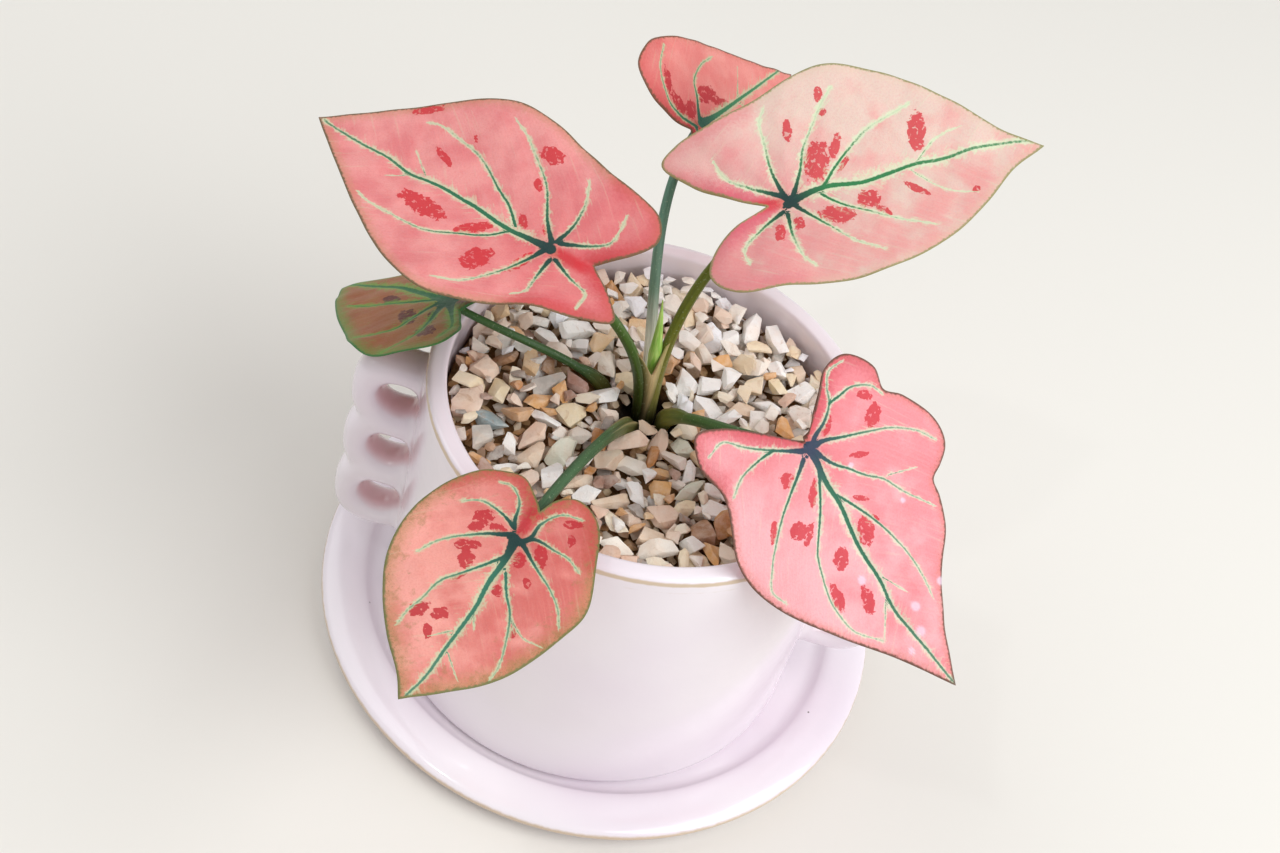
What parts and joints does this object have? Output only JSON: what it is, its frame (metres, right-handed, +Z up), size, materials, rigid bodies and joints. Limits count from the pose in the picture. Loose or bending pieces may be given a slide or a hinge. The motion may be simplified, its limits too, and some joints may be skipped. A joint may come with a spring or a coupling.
{
  "type": "potted caladium",
  "caption": "Pink-leaved caladium growing through a gravel top layer in a straight glazed pot with looped handles, standing on a round saucer.",
  "frame": {"origin": "centre of the saucer's flat underside, where it stands on the table", "axes": "+Z up; +X towards the right-hand handle, the handles' line running along X; -Y towards the front"},
  "size_m": [0.2096, 0.254, 0.1889],
  "materials": {
    "lilac_glaze": "gloss",
    "potting_soil": "matte",
    "gravel": "matte",
    "tuber_skin": "matte",
    "petiole": "satin",
    "pink_leaf": "satin",
    "pale_pink_leaf": "satin",
    "tinted_leaf": "satin",
    "rust_leaf": "satin",
    "young_leaf": "satin"
  },
  "bodies": {
    "root": {"saucer": "lilac_glaze", "pot": "lilac_glaze", "soil": "potting_soil", "gravel": "gravel", "tuber": "tuber_skin", "petiole_left": "petiole", "blade_left": "pink_leaf", "petiole_right": "petiole", "blade_right": "pale_pink_leaf", "petiole_front_right": "petiole", "blade_front_right": "pink_leaf", "petiole_front_left": "petiole", "blade_front_left": "tinted_leaf", "petiole_rear": "petiole", "blade_rear": "pink_leaf", "petiole_far_left": "petiole", "blade_far_left": "rust_leaf", "rolled_leaf": "young_leaf"}
  },
  "joints": []
}
